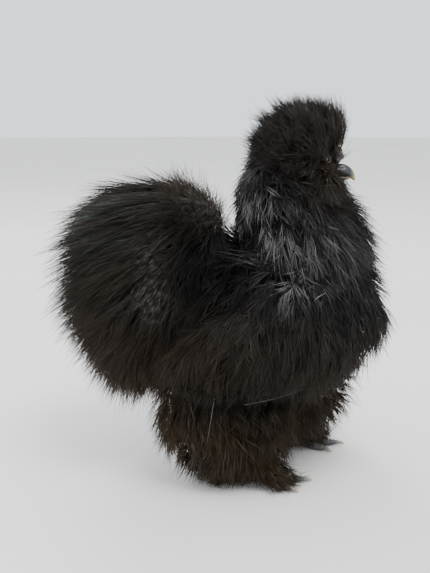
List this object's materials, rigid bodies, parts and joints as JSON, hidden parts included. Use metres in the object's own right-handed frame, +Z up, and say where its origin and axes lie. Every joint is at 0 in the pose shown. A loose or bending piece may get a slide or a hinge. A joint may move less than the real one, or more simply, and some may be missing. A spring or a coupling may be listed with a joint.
{
  "type": "silkie chicken",
  "caption": "Black bearded silkie chicken standing as a still model: powder-puff crest, beard, hackle, wings, cushion tail, fluffy legs, five-toed feet.",
  "frame": {"origin": "centre of the bounding box's base, on the floor under the bird", "axes": "+X to the bird's front, +Y to its left, +Z up"},
  "size_m": [0.3, 0.2137, 0.329],
  "materials": {
    "loose_plumage": "matte",
    "body_plumage": "matte",
    "face_skin": "satin",
    "comb_skin": "satin",
    "lobe_skin": "satin",
    "beak_horn": "satin",
    "claw_horn": "satin",
    "shank_skin": "matte",
    "eye": "gloss"
  },
  "bodies": {
    "root": {"beak_lower": "beak_horn", "beak_upper": "beak_horn", "beard": "loose_plumage", "claw_l1": "claw_horn", "claw_l2": "claw_horn", "claw_l3": "claw_horn", "claw_l4": "claw_horn", "claw_l5": "claw_horn", "claw_r1": "claw_horn", "claw_r2": "claw_horn", "claw_r3": "claw_horn", "claw_r4": "claw_horn", "claw_r5": "claw_horn", "comb": "comb_skin", "crest": "loose_plumage", "earlobe_l": "lobe_skin", "earlobe_r": "lobe_skin", "eye_l": "eye", "eye_r": "eye", "foot_l": "shank_skin", "foot_r": "shank_skin", "head": "face_skin", "leg_l": "body_plumage", "leg_r": "body_plumage", "neck": "body_plumage", "tail": "loose_plumage", "torso": "body_plumage", "wing_l": "body_plumage", "wing_r": "body_plumage"}
  },
  "joints": []
}
